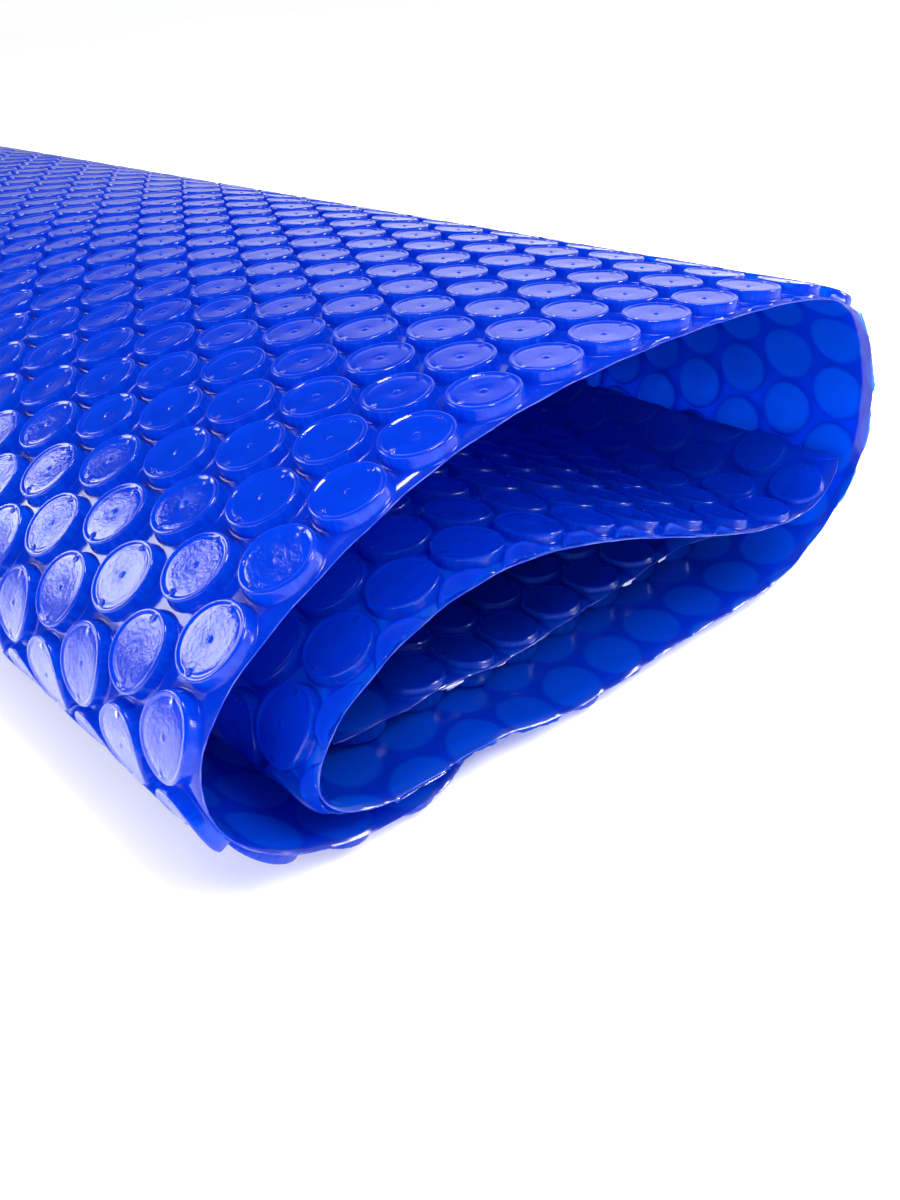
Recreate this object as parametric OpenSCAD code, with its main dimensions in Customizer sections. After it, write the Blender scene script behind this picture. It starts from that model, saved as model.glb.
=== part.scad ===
// Rolled solar bubble cover for a pool: one length of blue bubble sheet, rolled
// loosely on itself and lying on its side. X runs across the roll, Y along it
// (the flush cut end is at minimum Y) and Z is up. Z = 0 is the surface it lies on.

/* [Sheet] */
// Width of the sheet, which is the length of the roll
sheet_w = 560; // [300:10:900]
// Height of the air bubbles above the backing film
bubble_h = 3.5; // [2:0.1:6]
// Thickness of the backing film and the web of the bubble film together
film_t = 0.4; // [0.2:0.1:0.8]

/* [Roll] */
// Width of the roll at its far end, as a ratio of its width at the cut end
spread = 1.13; // [1:0.01:1.2]
// Height of the roll at its far end, as a ratio of its height at the cut end
rise = 1.025; // [1:0.005:1.1]
// How far the innermost wrap stands back from the cut end
inset = 13; // [0:1:30]
// X of the line that the roll widens away from
spread_x = -11; // [-40:1:140]
// X of the middle of the whole roll, moved to the origin
mid_x = 62; // [0:0.5:120]

/* [Smoothness] */
// Straight steps between two points of the wrap outline
steps = 3; // [1:1:6]

/* [Hidden] */
// Outline of the wraps in mm, film centre line, from the outer free end
// underneath, once and a half round, to the inner free end.
lap_tail = [[20, 3.7], [12, 3.7], [5, 3.7], [-1, 3.8], [-7, 4.4], [-14, 6.3]];
lap_left = [[-14, 6.3], [-20, 8.9], [-26, 13], [-30.5, 18], [-33, 24], [-33.4, 30],
            [-31.5, 36], [-27.5, 41.5], [-21, 47]];
lap_top = [[-21, 47], [-11, 53], [0, 58], [11, 62], [23, 65], [35, 67.1], [46, 68.2],
           [58, 68.7], [70, 68.9], [82, 68.8], [94, 68.4], [105, 67.5], [115, 65.8]];
lap_right = [[115, 65.8], [122, 63.8], [128.5, 60.5], [133.5, 55.8], [137, 50], [139.3, 43],
             [140.6, 36], [140.6, 29.5], [139, 23.5], [135.5, 18], [130, 13.2], [124, 9.6]];
lap_bottom = [[124, 9.6], [118, 6.9], [112, 5], [105, 4], [98, 3.75], [90, 3.7], [80, 3.7],
              [70, 3.7], [61, 3.7], [52, 3.7], [46, 3.75], [41, 4], [36, 4.6], [29, 6.2], [22, 7.7],
              [14, 8], [6, 8], [-2, 8.4]];
lap_turn = [[-2, 8.4], [-8, 10], [-12.5, 13], [-15, 17], [-14.6, 21.8], [-12, 26.2], [-8, 30],
            [-2, 33.6], [4, 36.6]];
lap_inner = [[4, 36.6], [12, 39.2], [20, 40.4], [28, 40.5], [38, 39.1], [47, 36.9], [57, 34.1],
             [66, 31.1], [75, 28], [84, 25], [94, 21.8], [103, 19.5], [112, 18.2], [119, 18.3]];
lap_nose = [[119, 18.3], [124.3, 20.1], [128, 22.8], [130.8, 25.2], [132.9, 25.7], [134.2, 24.2],
            [133.4, 21.7], [130.6, 19.2], [126.2, 16.3], [120.6, 13.1]];
lap_core = [[120.6, 13.1], [115, 10.6], [109, 8.9], [102, 8.2], [94, 8], [84, 8], [74, 8], [64, 8],
            [54, 8], [45, 8.2], [37, 9], [29, 10.8], [21, 12.1], [12, 12.4], [4, 12.6], [-3, 13]];

// The whole path, each shared end point once
laps = [lap_tail, lap_left, lap_top, lap_right, lap_bottom, lap_turn, lap_inner, lap_nose,
        lap_core];
path = [for (l = [0 : len(laps) - 1]) for (i = [(l == 0 ? 0 : 1) : len(laps[l]) - 1]) laps[l][i]];
last = len(path) - 1;
// Index in path where each wrap starts
function starts(k) = k == 0 ? 0 : starts(k - 1) + len(laps[k - 1]) - 1;

function ctrl(i) = i < 0 ? 2 * path[0] - path[1]
                 : i > last ? 2 * path[last] - path[last - 1] : path[i];
// Point and direction on the smooth curve through the path, u counted in points
function curve_at(i, t) =
    let (a = ctrl(i - 1), b = ctrl(i), c = ctrl(i + 1), d = ctrl(i + 2))
    0.5 * (2 * b + (c - a) * t + (2 * a - 5 * b + 4 * c - d) * t * t
    + (3 * b - a - 3 * c + d) * t * t * t);
function slope_at(i, t) =
    let (a = ctrl(i - 1), b = ctrl(i), c = ctrl(i + 1), d = ctrl(i + 2))
    0.5 * ((c - a) + 2 * (2 * a - 5 * b + 4 * c - d) * t + 3 * (3 * b - a - 3 * c + d) * t * t);
// A point off the curve, o mm towards the outside of the roll
function off_at(i, t, o) = let (s = slope_at(i, t)) curve_at(i, t) + o * [-s[1], s[0]] / norm(s);
function side(k, o) = [for (i = [starts(k) : starts(k + 1) - 1]) for (j = [0 : steps - 1])
                       off_at(i, j / steps, o), off_at(starts(k + 1) - 1, 1, o)];
function back(list) = [for (i = [len(list) - 1 : -1 : 0]) list[i]];

// One wrap of film between two offsets from the centre line, widening along the roll
module wrap(k, lo, hi, y0 = 0) {
    f = y0 / sheet_w;
    a = [1 + (spread - 1) * f, 1 + (rise - 1) * f];
    translate([spread_x - mid_x, y0 - sheet_w / 2, 0])
        mirror([0, 1, 0]) rotate([90, 0, 0])
            linear_extrude(height = sheet_w - y0, scale = [spread / a[0], rise / a[1]], slices = 1)
                polygon([for (p = concat(side(k, lo), back(side(k, hi))))
                         [(p[0] - spread_x) * a[0], p[1] * a[1]]]);
}
module backing(k, y0 = 0) { color([0.05, 0.2, 0.75]) wrap(k, -film_t / 2, film_t / 2, y0); }
module bubbles(k, y0 = 0) {
    color([0.1, 0.35, 0.95]) wrap(k, film_t / 2, film_t / 2 + bubble_h, y0);
}

module backing_film_tail() { backing(0); }
module bubble_film_tail() { bubbles(0); }
module backing_film_left_bend() { backing(1); }
module bubble_film_left_bend() { bubbles(1); }
module backing_film_top() { backing(2); }
module bubble_film_top() { bubbles(2); }
module backing_film_right_bend() { backing(3); }
module bubble_film_right_bend() { bubbles(3); }
module backing_film_bottom() { backing(4); }
module bubble_film_bottom() { bubbles(4); }
module backing_film_inner_turn() { backing(5); }
module bubble_film_inner_turn() { bubbles(5); }
module backing_film_inner() { backing(6); }
module bubble_film_inner() { bubbles(6); }
module backing_film_nose() { backing(7); }
module bubble_film_nose() { bubbles(7); }
module backing_film_core() { backing(8, inset); }
module bubble_film_core() { bubbles(8, inset); }

bubble_film_tail();
backing_film_tail();
bubble_film_left_bend();
backing_film_left_bend();
bubble_film_top();
backing_film_top();
bubble_film_right_bend();
backing_film_right_bend();
bubble_film_bottom();
backing_film_bottom();
bubble_film_inner_turn();
backing_film_inner_turn();
bubble_film_inner();
backing_film_inner();
bubble_film_nose();
backing_film_nose();
bubble_film_core();
backing_film_core();
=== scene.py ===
import bpy
import math
import numpy as np
from mathutils import Matrix, Vector


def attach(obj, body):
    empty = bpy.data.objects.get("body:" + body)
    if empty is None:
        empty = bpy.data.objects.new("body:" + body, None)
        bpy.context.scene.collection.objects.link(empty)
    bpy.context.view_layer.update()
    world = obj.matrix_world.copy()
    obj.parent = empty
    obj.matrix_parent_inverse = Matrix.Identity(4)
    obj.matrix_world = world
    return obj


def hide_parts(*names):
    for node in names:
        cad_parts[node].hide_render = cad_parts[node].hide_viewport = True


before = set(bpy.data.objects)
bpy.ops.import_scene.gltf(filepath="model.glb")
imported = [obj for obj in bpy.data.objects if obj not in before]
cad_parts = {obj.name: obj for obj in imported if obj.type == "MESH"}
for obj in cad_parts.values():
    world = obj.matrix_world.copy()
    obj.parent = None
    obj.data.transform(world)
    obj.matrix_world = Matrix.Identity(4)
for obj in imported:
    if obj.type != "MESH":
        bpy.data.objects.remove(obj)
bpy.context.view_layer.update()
SCENE = bpy.context.scene
MM = 0.001

# ---------------------------------------------------------------------------
# the wraps: the same outline as the CAD model, in mm, from the outer free end
# underneath, round the roll and in to the inner free end
# ---------------------------------------------------------------------------
LAPS = {
    "tail": [[20, 3.7], [12, 3.7], [5, 3.7], [-1, 3.8], [-7, 4.4], [-14, 6.3]],
    "left_bend": [[-14, 6.3], [-20, 8.9], [-26, 13], [-30.5, 18], [-33, 24], [-33.4, 30],
                  [-31.5, 36], [-27.5, 41.5], [-21, 47]],
    "top": [[-21, 47], [-11, 53], [0, 58], [11, 62], [23, 65], [35, 67.1], [46, 68.2],
            [58, 68.7], [70, 68.9], [82, 68.8], [94, 68.4], [105, 67.5], [115, 65.8]],
    "right_bend": [[115, 65.8], [122, 63.8], [128.5, 60.5], [133.5, 55.8], [137, 50], [139.3, 43],
                   [140.6, 36], [140.6, 29.5], [139, 23.5], [135.5, 18], [130, 13.2], [124, 9.6]],
    "bottom": [[124, 9.6], [118, 6.9], [112, 5], [105, 4], [98, 3.75], [90, 3.7], [80, 3.7],
               [70, 3.7], [61, 3.7], [52, 3.7], [46, 3.75], [41, 4], [36, 4.6], [29, 6.2],
               [22, 7.7], [14, 8], [6, 8], [-2, 8.4]],
    "inner_turn": [[-2, 8.4], [-8, 10], [-12.5, 13], [-15, 17], [-14.6, 21.8], [-12, 26.2],
                   [-8, 30], [-2, 33.6], [4, 36.6]],
    "inner": [[4, 36.6], [12, 39.2], [20, 40.4], [28, 40.5], [38, 39.1], [47, 36.9], [57, 34.1],
              [66, 31.1], [75, 28], [84, 25], [94, 21.8], [103, 19.5], [112, 18.2], [119, 18.3]],
    "nose": [[119, 18.3], [124.3, 20.1], [128, 22.8], [130.8, 25.2], [132.9, 25.7], [134.2, 24.2],
             [133.4, 21.7], [130.6, 19.2], [126.2, 16.3], [120.6, 13.1]],
    "core": [[120.6, 13.1], [115, 10.6], [109, 8.9], [102, 8.2], [94, 8], [84, 8], [74, 8], [64, 8],
             [54, 8], [45, 8.2], [37, 9], [29, 10.8], [21, 12.1], [12, 12.4], [4, 12.6], [-3, 13]],
}
SHEET_W, FILM_T, BUBBLE_H = 560.0, 0.4, 3.5
SPREAD, RISE, SPREAD_X, MID_X, INSET = 1.13, 1.025, -11.0, 62.0, 13.0

path, first = [], {}
for name, pts in LAPS.items():
    first[name] = max(0, len(path) - 1)
    path += pts if not path else pts[1:]
path = np.array(path, float)
LASTI = len(path) - 1


def ctrl(i):
    if i < 0:
        return 2 * path[0] - path[1]
    if i > LASTI:
        return 2 * path[LASTI] - path[LASTI - 1]
    return path[i]


DP, DN, DK = [], [], []
FINE = 24
for i in range(LASTI):
    a, b, c, d = ctrl(i - 1), ctrl(i), ctrl(i + 1), ctrl(i + 2)
    for t in [j / FINE for j in range(FINE)] + ([1.0] if i == LASTI - 1 else []):
        DP.append(0.5 * (2 * b + (c - a) * t + (2 * a - 5 * b + 4 * c - d) * t * t + (3 * b - a - 3 * c + d) * t ** 3))
        s = 0.5 * ((c - a) + 2 * (2 * a - 5 * b + 4 * c - d) * t + 3 * (3 * b - a - 3 * c + d) * t * t)
        DN.append(np.array([-s[1], s[0]]) / np.linalg.norm(s))
        DK.append(i + t)
DP, DN, DK = np.array(DP), np.array(DN), np.array(DK)
DL = np.concatenate([[0], np.cumsum(np.linalg.norm(np.diff(DP, axis=0), axis=1))])
LENGTH = DL[-1]
BOUND = {n: float(np.interp(first[n], DK, DL)) for n in LAPS}
EDGES = [BOUND[n] for n in LAPS] + [LENGTH]
ang = np.unwrap(np.arctan2(DN[:, 1], DN[:, 0]))
KAPPA = np.gradient(ang) / np.gradient(DL)          # negative where the outside is convex
KAPPA = np.convolve(np.pad(KAPPA, 12, mode="edge"), np.ones(25) / 25, "valid")


def lap_of(s):
    for n, e in zip(list(LAPS), EDGES[1:]):
        if s < e:
            return n
    return "core"


def surf(s, v, h):
    """Points in metres for arrays of path length s, distance v along the roll and offset h, in mm."""
    px, pz = np.interp(s, DL, DP[:, 0]), np.interp(s, DL, DP[:, 1])
    nx, nz = np.interp(s, DL, DN[:, 0]), np.interp(s, DL, DN[:, 1])
    a = 1 + (SPREAD - 1) * v / SHEET_W
    b = 1 + (RISE - 1) * v / SHEET_W
    x = SPREAD_X + (px + h * nx - SPREAD_X) * a - MID_X
    z = (pz + h * nz) * b
    return np.stack([x, v - SHEET_W / 2, z], -1) * MM


def smooth(e0, e1, x):
    t = np.clip((x - e0) / (e1 - e0), 0, 1)
    return t * t * (3 - 2 * t)


def front_edge(s):
    """How far back the cut end stands at path length s: flush, except round the innermost wrap."""
    s = np.asarray(s, float)
    wave = 0.22 * np.sin(s * 0.11) + 0.12 * np.sin(s * 0.53 + 1.0) + 0.05 * np.sin(s * 1.9)
    back = (INSET + 0.4) * smooth(606.0, 636.0, s)
    back = back + 4.5 * (1 - smooth(0.0, 12.0, s))          # the corner of the outer free end lies drawn in
    return 0.42 + wave + back + 0.10 * smooth(630.0, 660.0, s) * np.maximum(0.0, 742.0 - s)


# lattice of the bubbles in developed length: rows along the cut edge, staggered columns
ANCHOR, PHASE, PITCH_S, PITCH_V = 160.0, -17.36, 14.185, 13.18


def stretch_table(v):
    a = 1 + (SPREAD - 1) * v / SHEET_W
    b = 1 + (RISE - 1) * v / SHEET_W
    d = np.hypot(np.diff(DP[:, 0]) * a, np.diff(DP[:, 1]) * b)
    L = np.concatenate([[0], np.cumsum(d)])
    return L - np.interp(ANCHOR, DL, L)


V_GRID = np.linspace(0, SHEET_W, 57)
L_GRID = np.array([stretch_table(v) for v in V_GRID])


def real_len(s, v):
    """Developed length from the anchor, for arrays."""
    f = np.clip(v / SHEET_W * 56, 0, 55.999)
    i = f.astype(int)
    t = f - i
    k = np.interp(s, DL, np.arange(len(DL)))
    k0 = np.clip(k.astype(int), 0, len(DL) - 2)
    u = k - k0
    A = L_GRID[i, k0] * (1 - u) + L_GRID[i, k0 + 1] * u
    B = L_GRID[i + 1, k0] * (1 - u) + L_GRID[i + 1, k0 + 1] * u
    return A * (1 - t) + B * t


V_KNOT_S = [-10.0, 4.0, 20.0, 25.0, 26.6, 31.0, 34.0, 36.5, 60.0]
V_KNOT_V = [7.3, 7.2, 9.5, 0.5, -2.4, -2.6, -3.0, -6.0, -6.0]


def v_first(S):
    """Where the first column of bubbles stands behind the cut, row by row."""
    return np.interp(S, V_KNOT_S, V_KNOT_V)


def col_pos(J, S):
    """Column J behind the first one; the columns close up a little where the roll is cut across."""
    tight = 1.35 * float(np.interp(S, [18.0, 20.0, 33.0, 35.0], [0.0, 1.0, 1.0, 0.0]))
    return J * PITCH_V - tight * min(max(J, 0), 2)


def row_shift(J, S):
    w = float(np.interp(S, [25.0, 27.0, 34.0, 36.0], [0.0, 1.0, 1.0, 0.0]))
    return w * (-0.37 + 0.13 * min(max(J, 0), 2))


def core_back(s):
    return 0.10 * smooth(630.0, 660.0, np.asarray(s, float)) * np.maximum(0.0, 742.0 - np.asarray(s, float))


# ---------------------------------------------------------------------------
# materials
# ---------------------------------------------------------------------------
def new_mat(name):
    m = bpy.data.materials.new(name)
    m.use_nodes = True
    m.node_tree.nodes.clear()
    return m, m.node_tree.nodes, m.node_tree.links


class N:
    """Small helper for node maths."""

    def __init__(self, m):
        self.t = m.node_tree
        self.n = m.node_tree.nodes
        self.l = m.node_tree.links

    def add(self, kind, **kw):
        n = self.n.new(kind)
        for k, v in kw.items():
            setattr(n, k, v)
        return n

    def put(self, sock, val):
        if hasattr(val, "is_output") or isinstance(val, bpy.types.NodeSocket):
            self.l.new(val, sock)
        else:
            sock.default_value = val

    def math(self, op, a, b=0.0, c=0.0, clamp=False):
        n = self.add("ShaderNodeMath", operation=op, use_clamp=clamp)
        self.put(n.inputs[0], a)
        self.put(n.inputs[1], b)
        self.put(n.inputs[2], c)
        return n.outputs[0]

    def ramp(self, x, lo, hi, a=0.0, b=1.0, kind="SMOOTHSTEP"):
        n = self.add("ShaderNodeMapRange", interpolation_type=kind)
        self.put(n.inputs["Value"], x)
        n.inputs["From Min"].default_value = lo
        n.inputs["From Max"].default_value = hi
        n.inputs["To Min"].default_value = a
        n.inputs["To Max"].default_value = b
        return n.outputs["Result"]

    def mixc(self, f, a, b, blend="MIX"):
        n = self.add("ShaderNodeMix", data_type="RGBA", blend_type=blend)
        self.put(n.inputs["Factor"], f)
        self.put(n.inputs["A"], a)
        self.put(n.inputs["B"], b)
        for o in n.outputs:
            if o.type == "RGBA":
                return o

    def noise(self, vec, scale, detail=2.0, rough=0.5, w=None):
        n = self.add("ShaderNodeTexNoise", noise_dimensions="4D" if w is not None else "3D")
        self.l.new(vec, n.inputs["Vector"])
        n.inputs["Scale"].default_value = scale
        n.inputs["Detail"].default_value = detail
        n.inputs["Roughness"].default_value = rough
        if w is not None:
            self.put(n.inputs["W"], w)
        return n.outputs["Fac"]


def mix_input(sockets, kind):
    return [s for s in sockets if s.type == kind]


def film_shader(k, colour_diffuse, colour_through, colour_clear, clear, through, rough, normal, coat=1.0, ior=1.5):
    """Glossy film: reflection over a mix of scattered, passed-through and clear light."""
    dif = k.add("ShaderNodeBsdfDiffuse")
    k.put(dif.inputs["Color"], colour_diffuse)
    tra = k.add("ShaderNodeBsdfTranslucent")
    k.put(tra.inputs["Color"], colour_through)
    cle = k.add("ShaderNodeBsdfTransparent")
    k.put(cle.inputs["Color"], colour_clear)
    m1 = k.add("ShaderNodeMixShader")
    k.put(m1.inputs[0], through)
    k.l.new(dif.outputs[0], m1.inputs[1])
    k.l.new(tra.outputs[0], m1.inputs[2])
    m2 = k.add("ShaderNodeMixShader")
    k.put(m2.inputs[0], clear)
    k.l.new(m1.outputs[0], m2.inputs[1])
    k.l.new(cle.outputs[0], m2.inputs[2])
    glo = k.add("ShaderNodeBsdfGlossy")
    glo.inputs["Color"].default_value = (0.96, 0.97, 1.0, 1)
    k.put(glo.inputs["Roughness"], rough)
    fre = k.add("ShaderNodeFresnel")
    fre.inputs["IOR"].default_value = ior
    if normal is not None:
        for n in (dif, tra, glo, fre):
            k.l.new(normal, n.inputs["Normal"])
    fac = k.math("MULTIPLY", fre.outputs[0], coat, clamp=True)
    m3 = k.add("ShaderNodeMixShader")
    k.l.new(fac, m3.inputs[0])
    k.l.new(m2.outputs[0], m3.inputs[1])
    k.l.new(glo.outputs[0], m3.inputs[2])
    out = k.add("ShaderNodeOutputMaterial")
    k.l.new(m3.outputs[0], out.inputs["Surface"])
    return out


DEEP = (0.0004, 0.045, 0.90, 1)
GLOW = (0.0006, 0.155, 0.88, 1)
CLEAR = (0.0008, 0.380, 0.94, 1)


def bubble_material():
    m, _, _ = new_mat("bubble_film_blue")
    k = N(m)
    uv = k.add("ShaderNodeUVMap", uv_map="bubble")
    sep = k.add("ShaderNodeSeparateXYZ")
    k.l.new(uv.outputs[0], sep.inputs[0])
    x = k.math("MULTIPLY", k.math("SUBTRACT", sep.outputs[0], 0.5), 16.0)
    y = k.math("MULTIPLY", k.math("SUBTRACT", sep.outputs[1], 0.5), 16.0)
    r = k.math("SQRT", k.math("ADD", k.math("MULTIPLY", x, x), k.math("MULTIPLY", y, y)))
    seed = k.add("ShaderNodeAttribute", attribute_name="seed").outputs["Fac"]
    wr = k.add("ShaderNodeAttribute", attribute_name="wrinkle").outputs["Fac"]
    cutv = k.add("ShaderNodeAttribute", attribute_name="cut").outputs["Fac"]
    comb = k.add("ShaderNodeCombineXYZ")
    k.l.new(x, comb.inputs[0])
    k.l.new(y, comb.inputs[1])
    k.l.new(k.math("MULTIPLY", seed, 40.0), comb.inputs[2])
    # polar coordinates for the creases that run round and out from the middle
    a = k.math("ARCTAN2", y, x)
    pol = k.add("ShaderNodeCombineXYZ")
    k.l.new(k.math("MULTIPLY", k.math("COSINE", a), 1.2), pol.inputs[0])
    k.l.new(k.math("MULTIPLY", k.math("SINE", a), 1.2), pol.inputs[1])
    k.l.new(k.math("ADD", k.math("MULTIPLY", r, 0.22), k.math("MULTIPLY", seed, 40.0)), pol.inputs[2])
    radial = k.noise(pol.outputs[0], 5.5, 3.0, 0.65)
    warp = k.noise(comb.outputs[0], 0.35, 2.0, 0.6)
    rings = k.math("SINE", k.math("ADD", k.math("MULTIPLY", r, 7.5), k.math("MULTIPLY", warp, 16.0)))
    creases = k.noise(comb.outputs[0], 0.9, 3.0, 0.65)
    flat = k.ramp(r, 5.3, 4.6, 0.0, 1.0)
    h = k.math("MULTIPLY", k.math("SUBTRACT", radial, 0.5), 0.22)
    h = k.math("ADD", h, k.math("MULTIPLY", rings, 0.022))
    h = k.math("ADD", h, k.math("MULTIPLY", k.math("SUBTRACT", creases, 0.5), 0.55))
    h = k.math("MULTIPLY", h, wr)
    h = k.math("MULTIPLY", h, flat)
    # two small vent marks at the ends of one diameter
    vents = 0.0
    for sx in (-1, 1):
        dx = k.math("SUBTRACT", x, 4.95 * sx)
        dd = k.math("ADD", k.math("MULTIPLY", dx, dx), k.math("MULTIPLY", y, y))
        g = k.math("EXPONENT", k.math("MULTIPLY", dd, -6.0))
        vents = k.math("ADD", vents, g)
    h = k.math("ADD", h, k.math("MULTIPLY", vents, 1.5))
    fine = k.noise(comb.outputs[0], 3.5, 2.0, 0.5)
    h = k.math("ADD", h, k.math("MULTIPLY", k.math("SUBTRACT", fine, 0.5), 0.05))
    bump = k.add("ShaderNodeBump")
    bump.inputs["Strength"].default_value = 0.85
    bump.inputs["Distance"].default_value = 0.00035
    k.l.new(h, bump.inputs["Height"])
    tint = k.ramp(warp, 0.3, 0.7, 0.0, 1.0)
    cd = k.mixc(tint, (0.0004, 0.044, 0.53, 1), (0.0005, 0.060, 0.62, 1))
    # the drawn-down walls are thinner and hazier than the tops; the darker ring at their foot is painted contact shade
    wall = k.ramp(r, 6.05, 6.25, 0.0, 1.0)
    foot_shade = k.ramp(r, 6.30, 6.48, 0.0, 1.0)
    streak = k.math("MULTIPLY", wall, k.ramp(k.noise(pol.outputs[0], 9.0, 3.0, 0.6), 0.42, 0.66))
    cd = k.mixc(k.math("MULTIPLY", streak, 0.55), cd, (0.0008, 0.150, 0.86, 1))
    # painted shade: the foot of each wall is darkened as a contact shadow
    cd = k.mixc(k.math("MULTIPLY", foot_shade, 0.45), cd, (0.0003, 0.022, 0.36, 1))
    coat = k.math("SUBTRACT", 1.0, k.math("MULTIPLY", wall, 0.55))
    coat = k.math("MULTIPLY", coat, k.math("SUBTRACT", 1.0, k.math("MULTIPLY", cutv, 0.45)))
    rough = k.math("ADD", 0.045, k.math("MULTIPLY", wall, 0.12))
    rough = k.math("ADD", rough, k.math("MULTIPLY", cutv, 0.20))
    film_shader(k, cd, GLOW, CLEAR, 0.47, 0.50, rough, bump.outputs[0], coat=coat)
    return m


def backing_material():
    m, _, _ = new_mat("backing_film_blue")
    k = N(m)
    uv = k.add("ShaderNodeUVMap", uv_map="lattice")
    sep = k.add("ShaderNodeSeparateXYZ")
    k.l.new(uv.outputs[0], sep.inputs[0])
    # row and column counts of the staggered bubbles, so the smooth side shows their discs: the lighter diffuse colour
    # over each disc is painted light passing through the bubble, the clearer transmission there is the thinner film
    row = k.math("MULTIPLY", sep.outputs[0], 100.0)
    col = k.math("MULTIPLY", sep.outputs[1], 100.0)
    best = None
    for off_r, off_c in ((0.0, 0.0), (0.5, 1.0)):
        fr = k.math("SUBTRACT", k.math("FRACT", k.math("ADD", row, 0.5 + off_r)), 0.5)
        half = k.math("MULTIPLY", k.math("ADD", col, 1.0 + off_c), 0.5)
        fc = k.math("SUBTRACT", k.math("FRACT", half), 0.5)
        dr = k.math("MULTIPLY", fr, 14.185)
        dc = k.math("MULTIPLY", fc, 2 * 13.18)
        d = k.math("SQRT", k.math("ADD", k.math("MULTIPLY", dr, dr), k.math("MULTIPLY", dc, dc)))
        best = d if best is None else k.math("MINIMUM", best, d)
    disc = k.ramp(best, 6.9, 5.6, 0.0, 1.0)
    rim = k.math("EXPONENT", k.math("MULTIPLY", k.math("POWER", k.math("SUBTRACT", best, 6.1), 2.0), -4.0))
    tc = k.add("ShaderNodeTexCoord")
    big = k.noise(tc.outputs["Object"], 22.0, 2.0, 0.5)
    fine = k.noise(tc.outputs["Object"], 900.0, 2.0, 0.5)
    # painted light: the diffuse colour is lighter over each bubble disc, as light passing through the bubbles; ct and
    # cc over the discs follow the thinner film
    cd = k.mixc(disc, (0.0004, 0.045, 0.68, 1), (0.0005, 0.085, 0.80, 1))
    ct = k.mixc(disc, (0.0004, 0.100, 0.74, 1), (0.0008, 0.245, 0.84, 1))
    cc = k.mixc(disc, (0.0005, 0.19, 0.74, 1), (0.001, 0.57, 0.86, 1))
    # the backing stands very slightly proud over each bubble
    h = k.math("ADD", k.math("MULTIPLY", disc, 0.12), k.math("MULTIPLY", big, 0.8))
    h = k.math("ADD", h, k.math("MULTIPLY", rim, 0.04))
    h = k.math("ADD", h, k.math("MULTIPLY", fine, 0.015))
    bump = k.add("ShaderNodeBump")
    bump.inputs["Strength"].default_value = 0.7
    bump.inputs["Distance"].default_value = 0.0006
    k.l.new(h, bump.inputs["Height"])
    film_shader(k, cd, ct, cc, 0.35, 0.58, 0.13, bump.outputs[0], coat=0.9)
    return m


def edge_material():
    m, _, _ = new_mat("film_cut_edge")
    k = N(m)
    tc = k.add("ShaderNodeTexCoord")
    # painted highlight: the cut edge is mixed in patches with a pale lilac, standing in for light catching the edge
    n = k.noise(tc.outputs["Object"], 260.0, 2.0, 0.6)
    c = k.mixc(k.ramp(n, 0.40, 0.65), (0.002, 0.05, 0.80, 1), (0.16, 0.20, 0.92, 1))
    film_shader(k, c, (0.01, 0.12, 0.95, 1), (0.01, 0.15, 1.0, 1), 0.20, 0.45, 0.30, None, coat=0.35)
    return m


BUB = bubble_material()
BACK = backing_material()
EDGE = edge_material()


# ---------------------------------------------------------------------------
# mesh building
# ---------------------------------------------------------------------------
def make_object(name, verts, quads, tris, mats, uvname=None, uvs=None, attrs=None, mat_index=None, smooth_all=True):
    me = bpy.data.meshes.new(name)
    nv = len(verts)
    nq, nt = len(quads), len(tris)
    me.vertices.add(nv)
    me.vertices.foreach_set("co", np.asarray(verts, np.float32).ravel())
    loops = np.concatenate([np.asarray(quads, np.int32).ravel(), np.asarray(tris, np.int32).ravel()])
    me.loops.add(len(loops))
    me.loops.foreach_set("vertex_index", loops)
    starts = np.concatenate([np.arange(nq) * 4, nq * 4 + np.arange(nt) * 3]).astype(np.int32)
    me.polygons.add(nq + nt)
    me.polygons.foreach_set("loop_start", starts)
    if mat_index is not None:
        me.polygons.foreach_set("material_index", np.asarray(mat_index, np.int32))
    me.polygons.foreach_set("use_smooth", np.ones(nq + nt, bool) if smooth_all is True else np.asarray(smooth_all, bool))
    if uvname:
        layer = me.uv_layers.new(name=uvname)
        layer.data.foreach_set("uv", np.asarray(uvs, np.float32)[loops].ravel())
    for an, av in (attrs or {}).items():
        at = me.attributes.new(an, "FLOAT", "POINT")
        at.data.foreach_set("value", np.asarray(av, np.float32))
    me.update(calc_edges=True)
    me.validate()
    for m in mats:
        me.materials.append(m)
    o = bpy.data.objects.new(name, me)
    SCENE.collection.objects.link(o)
    return o


# backing film: one continuous thin sheet round every wrap
def sheet_stations():
    out = [0.0]
    while out[-1] < LENGTH:
        kap = abs(float(np.interp(out[-1], DL, KAPPA)))
        out.append(out[-1] + min(2.6, max(0.35, 0.16 / max(kap, 0.02))))
    out = np.array(out)
    return out * LENGTH / out[-1]


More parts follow.
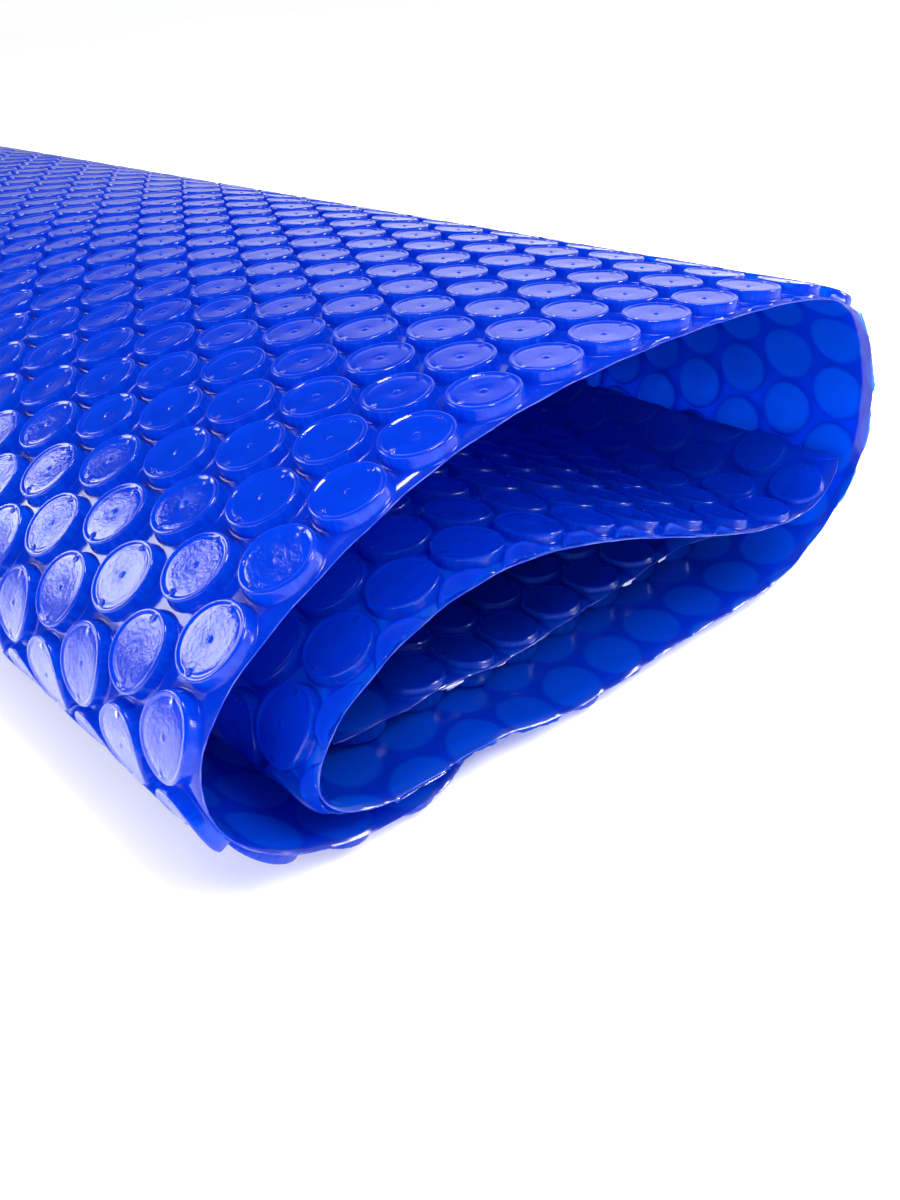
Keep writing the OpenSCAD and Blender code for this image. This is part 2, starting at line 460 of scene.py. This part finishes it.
S_ST = sheet_stations()
V_ST = np.concatenate([np.linspace(0, 1, 25) ** 1.15 * 150, np.linspace(150, SHEET_W, 60)[1:]])
SG, VG = np.meshgrid(S_ST, V_ST, indexing="ij")
fe = front_edge(S_ST)[:, None]
back_wave = 0.5 + 0.3 * np.sin(S_ST * 0.09 + 2)[:, None]
VG = fe + (SHEET_W - back_wave - fe) * (VG / SHEET_W)
RL = real_len(SG.ravel(), VG.ravel()).reshape(SG.shape)
ROW = (RL - PHASE) / PITCH_S + 5
COL = (VG - v_first(ROW)) / PITCH_V
ns, nvv = SG.shape
film_wob = 0.0
half_t = 0.10 + (FILM_T / 2 - 0.10) * smooth(0.0, 4.0, VG - fe).ravel()
outer_pts = surf(SG.ravel(), VG.ravel(), half_t)
inner_pts = surf(SG.ravel(), VG.ravel(), -half_t)
verts = np.concatenate([outer_pts, inner_pts])
idx = np.arange(ns * nvv).reshape(ns, nvv)
q_out = np.stack([idx[:-1, :-1], idx[1:, :-1], idx[1:, 1:], idx[:-1, 1:]], -1).reshape(-1, 4)
off = ns * nvv
q_in = q_out[:, ::-1] + off
edge_quads = []
f0 = idx[:, 0]
edge_quads.append(np.stack([f0[1:], f0[:-1], f0[:-1] + off, f0[1:] + off], -1))
b0 = idx[:, -1]
edge_quads.append(np.stack([b0[:-1], b0[1:], b0[1:] + off, b0[:-1] + off], -1))
s0_ = idx[0, :]
edge_quads.append(np.stack([s0_[:-1], s0_[1:], s0_[1:] + off, s0_[:-1] + off], -1))
s1_ = idx[-1, :]
edge_quads.append(np.stack([s1_[1:], s1_[:-1], s1_[:-1] + off, s1_[1:] + off], -1))
q_edge = np.concatenate(edge_quads)
quads = np.concatenate([q_out, q_in, q_edge])
mi = np.concatenate([np.zeros(len(q_out) + len(q_in)), np.ones(len(q_edge))]).astype(int)
uvv = np.stack([ROW.ravel(), COL.ravel()], -1) / 100.0
uvs = np.concatenate([uvv, uvv])
sm = np.concatenate([np.ones(len(q_out) + len(q_in), bool), np.zeros(len(q_edge), bool)])
backing = make_object("backing_film", verts, quads, np.zeros((0, 3), int), [BACK, EDGE], "lattice", uvs, None, mi, sm)
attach(backing, "root")
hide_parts(*["backing_film_" + n for n in LAPS])

# ---------------------------------------------------------------------------
# bubbles
# ---------------------------------------------------------------------------
# radius and height above the web, mm: middle, flat top, stretch groove, rim, wall, foot
PROFILE = {
    "hi": [(0.0, 3.30), (0.28, 3.27), (0.5, 3.06), (0.85, 3.02), (1.3, 3.10), (2.2, 3.14), (3.2, 3.17), (4.1, 3.19),
           (4.7, 3.20), (5.0, 3.14), (5.2, 3.10), (5.4, 3.18), (5.62, 3.38), (5.82, 3.46), (6.0, 3.42), (6.14, 3.28),
           (6.22, 3.02), (6.28, 2.4), (6.34, 1.5), (6.42, 0.7), (6.52, 0.3), (6.68, 0.09), (6.92, 0.0)],
    "mid": [(0.0, 3.28), (0.5, 3.06), (1.3, 3.10), (3.6, 3.18), (4.9, 3.18), (5.2, 3.10), (5.6, 3.38), (5.9, 3.46),
            (6.16, 3.22), (6.28, 2.3), (6.40, 0.8), (6.60, 0.14), (6.9, 0.0)],
    "low": [(0.0, 3.12), (3.6, 3.18), (5.1, 3.12), (5.8, 3.45), (6.2, 3.05), (6.40, 0.8), (6.85, 0.0)],
}
SEGS = {"hi": 40, "mid": 26, "low": 16}
rng = np.random.default_rng(7)


def template(lod):
    prof = PROFILE[lod]
    seg = SEGS[lod]
    th = np.arange(seg) * 2 * math.pi / seg
    R = [0.0]
    H = [prof[0][1]]
    T = [0.0]
    for r, h in prof[1:]:
        R += [r] * seg
        H += [h] * seg
        T += list(th)
    tris = [(0, 1 + j, 1 + (j + 1) % seg) for j in range(seg)]
    quads = []
    for i in range(len(prof) - 2):
        a = 1 + i * seg
        b = a + seg
        for j in range(seg):
            j2 = (j + 1) % seg
            quads.append((a + j, b + j, b + j2, a + j2))
    return np.array(R), np.array(H), np.array(T), np.array(quads), np.array(tris)


TPL = {k: template(k) for k in PROFILE}


def load_height(s, v):
    """Bubbles the roll stands on keep their full height; the others have relaxed, most of all inside."""
    full = 1.0 - smooth(28.0, 58.0, s)
    full = np.maximum(full, smooth(268.0, 304.0, s) * (1 - smooth(434.0, 452.0, s)))
    under = full * (1 - smooth(8.0, 26.0, v))
    full = np.maximum(full * smooth(8.0, 26.0, v), smooth(636.0, 652.0, s))
    slack = 0.68 - 0.09 * smooth(440.0, 470.0, s) * (1 - smooth(636.0, 650.0, s)) - 0.16 * under
    slack = slack - 0.20 * smooth(566.0, 600.0, s) * (1 - smooth(636.0, 650.0, s))
    return slack + (1.0 - slack) * full


def lattice():
    out = []
    Smin = math.floor((L_GRID[:, 0].min() - PHASE) / PITCH_S + 5) - 1
    Smax = math.ceil((L_GRID[:, -1].max() - PHASE) / PITCH_S + 5) + 1
    for S2 in range(2 * Smin, 2 * Smax + 1):
        S = S2 / 2
        for J in range(-5, 48):
            if (S2 + J) % 2:
                continue
            v = float(v_first(S)) + col_pos(J, S)
            if v < -5.5 or v > SHEET_W + 5.5:
                continue
            i = min(max(v / SHEET_W * 56, 0), 55.999)
            i0 = int(i)
            row = L_GRID[i0] * (1 - i + i0) + L_GRID[i0 + 1] * (i - i0)
            want = PHASE + (S - 5 + row_shift(J, S)) * PITCH_S
            if want < row[0] + 1.0 or want > row[-1] - 1.0:
                continue
            s = float(np.interp(want, row, DL))
            v += float(core_back(s))
            if 300.0 < s < 440.0 and v < float(front_edge(s)) - 1.0:
                continue
            out.append((s, v, S, J))
    return out


CELLS = lattice()
groups = {}
for (s, v, S, J) in CELLS:
    lap = lap_of(s)
    near = v < 210 and lap in ("left_bend", "top", "inner_turn", "inner")
    midr = (v < 400 and lap in ("left_bend", "top", "right_bend")) or (v < 180)
    lod = "hi" if near else "mid" if midr else "low"
    groups.setdefault((lap, lod), []).append((s, v, S, J))

count = 0
made = {}
for c in sorted(CELLS, key=lambda c: c[1]):
    if 640.0 < c[0] < 752.0 and c[1] - 6.4 > float(front_edge(np.array(c[0]))) and c[1] < 190.0:
        groups.setdefault(("core_upper", "mid"), []).append(c)
for (lap, lod), cells in sorted(groups.items()):
    R, H, T, Q, TR = TPL[lod]
    nb = len(R)
    per = max(1, int(185000 / (2 * len(Q) + len(TR))))
    cells.sort(key=lambda c: c[1])
    chunks = [cells[i:i + per] for i in range(0, len(cells), per)]
    for ci, chunk in enumerate(chunks):
        n = len(chunk)
        sc = np.array([c[0] for c in chunk])
        vc = np.array([c[1] for c in chunk])
        # a bubble the cut only just misses stands whole, right behind it
        lo_near = front_edge(sc) + 6.75
        vc = np.where((vc < lo_near) & (vc > lo_near - 2.6), lo_near, vc)
        seeds = rng.random(n)
        rot = rng.random(n) * 2 * math.pi
        g = rng.normal(size=(n, 6))
        # local measure: mm of path per mm of real film
        ds = 0.5
        st = (real_len(sc + ds, vc) - real_len(sc - ds, vc)) / (2 * ds)
        r = R[None, :] * (1 + 0.006 * g[:, :1])
        th = T[None, :]
        x = r * np.cos(th)
        y = r * np.sin(th)
        top = np.clip(H[None, :] / 3.2, 0, 1)
        hgt = H[None, :] * (1 + 0.012 * g[:, 1:2])
        # slack tops: a shallow dish, a lean and a few soft folds, different on every bubble
        dish = np.clip(0.10 + 0.10 * g[:, 2:3], -0.05, 0.4) * (1 - np.clip(r / 5.2, 0, 1) ** 2)
        lean = (g[:, 3:4] * x + g[:, 4:5] * y) / 6.0 * 0.05
        fold = 0.035 * g[:, 5:6] * np.sin(3 * th + rot[:, None]) * np.clip(r / 5.0, 0, 1) ** 2
        hgt = hgt - (dish - lean - fold) * np.where(H[None, :] > 3.0, 1, 0)
        load = load_height(sc, vc)[:, None]
        hgt = hgt * load
        # squeezed where the film folds tightly
        kap = np.interp(sc, DL, KAPPA)
        rad = 1 / np.maximum(np.abs(kap), 1e-4)
        squeeze = np.clip(rad / 9.0, 0.3, 1.0)[:, None]
        hgt = hgt * squeeze
        s_all = sc[:, None] + x / st[:, None]
        v_all = vc[:, None] + y
        lo = front_edge(s_all)
        hi = np.full_like(lo, SHEET_W - 0.8)
        lo_c = front_edge(sc)
        is_cut = (vc - 5.3 < lo_c) | (vc + 6.2 > SHEET_W - 0.8)
        is_cut |= (sc < 6.6) | (sc > LENGTH - 6.6)
        inside = (v_all > lo) & (v_all < hi) & (s_all > 0) & (s_all < LENGTH)
        # cut bubbles have lost their air: they slump towards the cut
        rim_gap = np.minimum(v_all - lo, hi - v_all)
        soft = 0.22 + 0.66 * smooth(0.0, 3.2, rim_gap) + 0.10 * np.sin(3 * th + rot[:, None]) + 0.06 * np.sin(7 * th + 3 * rot[:, None])
        slump = np.where(is_cut[:, None], soft, 1.0)
        hgt = np.where(H[None, :] > 0.05, hgt * slump, hgt)
        v_all = np.clip(v_all, lo + 0.02, hi)
        s_all = np.clip(s_all, 0.05, LENGTH - 0.05)
        h_all = FILM_T / 2 + 0.03 + hgt * (BUBBLE_H - 0.03) / 3.5
        if lap == "core_upper":
            # the bubbles underneath stand through the thin backing as low discs
            h_all = -(FILM_T / 2 + 0.03 + hgt * 0.42)
        pts = surf(s_all.ravel(), v_all.ravel(), h_all.ravel())
        pts[:, 2] = np.maximum(pts[:, 2], 0.00002)
        base = (np.arange(n) * nb)[:, None, None]
        q = (Q[None] + base)
        t = (TR[None] + base)
        ins = inside.ravel()
        qf = q.reshape(-1, 4)
        tf = t.reshape(-1, 3)
        qf = qf[ins[qf].any(axis=1)]
        tf = tf[ins[tf].any(axis=1)]
        u = np.stack([(R[None] * np.cos(T[None])) / 16 + 0.5 + 0 * x, (R[None] * np.sin(T[None])) / 16 + 0.5 + 0 * y], -1).reshape(-1, 2)
        bend = smooth(50, 70, sc) * (1 - smooth(86, 112, sc))
        wrinkle = 0.06 + 0.12 * seeds + 0.95 * bend * (0.45 + 0.55 * seeds)
        wrinkle = np.where(is_cut, 0.9, wrinkle)
        if lap == "core_upper":
            qf, tf = qf[:, ::-1], tf[:, ::-1]
        attrs = {"seed": np.repeat(seeds, nb), "wrinkle": np.repeat(wrinkle, nb),
                 "cut": np.repeat(is_cut.astype(float), nb)}
        nm = "bubble_film_%s_%s%d" % (lap, lod[0], ci)
        o = make_object(nm, pts, qf, tf, [BUB], "bubble", u, attrs)
        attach(o, "root")
        if lap not in made and lap in LAPS:
            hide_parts("bubble_film_" + lap)
            made[lap] = nm
        count += n
print("bubbles", count, "pieces", len(made), "length", LENGTH)

# ---------------------------------------------------------------------------
# floor, light, camera
# ---------------------------------------------------------------------------
bpy.ops.mesh.primitive_plane_add(size=60, location=(0, 0, -0.0002))
floor = bpy.context.active_object
floor.name = "floor"
fm, _, _ = new_mat("pale_floor")
k = N(fm)
bs = k.add("ShaderNodeBsdfPrincipled")
tc = k.add("ShaderNodeTexCoord")
nz = k.noise(tc.outputs["Object"], 40.0, 3.0, 0.5)
k.l.new(k.mixc(k.ramp(nz, 0.3, 0.7), (0.90, 0.90, 0.905, 1), (0.925, 0.925, 0.925, 1)), bs.inputs["Base Color"])
bs.inputs["Roughness"].default_value = 0.6
bs.inputs["Specular IOR Level"].default_value = 0.2
# painted light: the floor glows with an emission of its own, which also lights the roll from below
bs.inputs["Emission Color"].default_value = (0.97, 0.97, 1.0, 1)
# the glow is painted weaker near the roll and stronger away from it, so that the sweep runs out to white
dist = k.add("ShaderNodeVectorMath", operation="LENGTH")
k.l.new(tc.outputs["Object"], dist.inputs[0])
k.l.new(k.ramp(dist.outputs["Value"], 0.45, 2.2, 0.13, 0.85), bs.inputs["Emission Strength"])
out = k.add("ShaderNodeOutputMaterial")
k.l.new(bs.outputs[0], out.inputs["Surface"])
floor.data.materials.append(fm)

world = bpy.data.worlds.new("studio")
SCENE.world = world
world.use_nodes = True
wn = world.node_tree.nodes
wl = world.node_tree.links
wn.clear()
wtc = wn.new("ShaderNodeTexCoord")
wsep = wn.new("ShaderNodeSeparateXYZ")
wl.new(wtc.outputs["Generated"], wsep.inputs[0])
# a bright backdrop low down all round, standing higher to the right, under a dark ceiling
wx = wn.new("ShaderNodeMapRange")
wx.interpolation_type = "SMOOTHSTEP"
wx.inputs["From Min"].default_value = 0.15
wx.inputs["From Max"].default_value = 0.65
wx.inputs["To Min"].default_value = 0.0
wx.inputs["To Max"].default_value = 0.26
wl.new(wsep.outputs[0], wx.inputs["Value"])
wsub = wn.new("ShaderNodeMath")
wsub.operation = "SUBTRACT"
wl.new(wsep.outputs[2], wsub.inputs[0])
wl.new(wx.outputs["Result"], wsub.inputs[1])
wr = wn.new("ShaderNodeMapRange")
wr.interpolation_type = "SMOOTHSTEP"
wr.inputs["From Min"].default_value = 0.16
wr.inputs["From Max"].default_value = 0.44
wr.inputs["To Min"].default_value = 1.1
wr.inputs["To Max"].default_value = 0.05
wl.new(wsub.outputs[0], wr.inputs["Value"])
wside = wn.new("ShaderNodeMapRange")
wside.interpolation_type = "SMOOTHSTEP"
wside.inputs["From Min"].default_value = 0.30
wside.inputs["From Max"].default_value = 0.70
wside.inputs["To Min"].default_value = 0.38
wside.inputs["To Max"].default_value = 0.95
wl.new(wsep.outputs[0], wside.inputs["Value"])
wmul = wn.new("ShaderNodeMath")
wmul.operation = "MULTIPLY"
wl.new(wr.outputs["Result"], wmul.inputs[0])
wl.new(wside.outputs["Result"], wmul.inputs[1])
wray = wn.new("ShaderNodeLightPath")
wsee = wn.new("ShaderNodeMath")
wsee.operation = "MAXIMUM"
wl.new(wmul.outputs[0], wsee.inputs[0])
wl.new(wray.outputs["Is Camera Ray"], wsee.inputs[1])
wbg = wn.new("ShaderNodeBackground")
wbg.inputs["Color"].default_value = (0.985, 0.99, 1.0, 1)
wl.new(wsee.outputs[0], wbg.inputs["Strength"])
wo = wn.new("ShaderNodeOutputWorld")
wl.new(wbg.outputs[0], wo.inputs["Surface"])


def area(name, loc, target, size, size_y, power, colour=(1, 1, 1)):
    d = bpy.data.lights.new(name, "AREA")
    d.shape = "RECTANGLE"
    d.size, d.size_y = size, size_y
    d.energy = power
    d.color = colour
    o = bpy.data.objects.new(name, d)
    o.location = loc
    o.rotation_euler = (Vector(target) - Vector(loc)).to_track_quat("-Z", "Y").to_euler()
    SCENE.collection.objects.link(o)
    return o


area("back_left_panel", (-0.665, 0.973, 0.685), (-0.09, -0.26, 0.05), 0.69, 0.53, 9.4)
over = area("overhead", (0.15, 0.0, 1.7), (0, -0.1, 0), 1.8, 1.8, 34.0)
over.visible_glossy = False
fill = area("front_fill", (0.30, -1.05, 1.15), (0.0, -0.25, 0.03), 0.9, 0.8, 26.0)
fill.visible_glossy = False
side = area("left_fill", (-1.25, -0.65, 0.32), (-0.05, -0.2, 0.03), 0.9, 0.5, 26.0)
side.visible_glossy = False
area("overhead_core", (0.10, -0.10, 1.6), (0, -0.1, 0), 0.42, 0.42, 18.0)
# a panel at the front right, seen only in reflections: the bright arcs on the rims
arcs = area("front_right_panel", (1.15, -1.15, 0.55), (0.0, -0.25, 0.03), 0.5, 0.5, 23.0)
arcs.visible_diffuse = False
arcs.visible_transmission = False

cam_data = bpy.data.cameras.new("camera")
cam = bpy.data.objects.new("camera", cam_data)
SCENE.collection.objects.link(cam)
right = Vector((0.742624, -0.667682, -0.052049))
up = Vector((0.364539, 0.337809, 0.867754))
fw = Vector((0.561801, 0.663389, -0.494262))
rot3 = Matrix((right, up, -fw)).transposed()
cam.matrix_world = Matrix.Translation(Vector((-0.142101, -0.3895, 0.121734))) @ rot3.to_4x4()
cam_data.sensor_width = 36
cam_data.sensor_fit = "AUTO"
cam_data.lens = 31.754
cam_data.clip_start = 0.01
cam_data.clip_end = 50
SCENE.camera = cam
SCENE.view_settings.view_transform = "Standard"
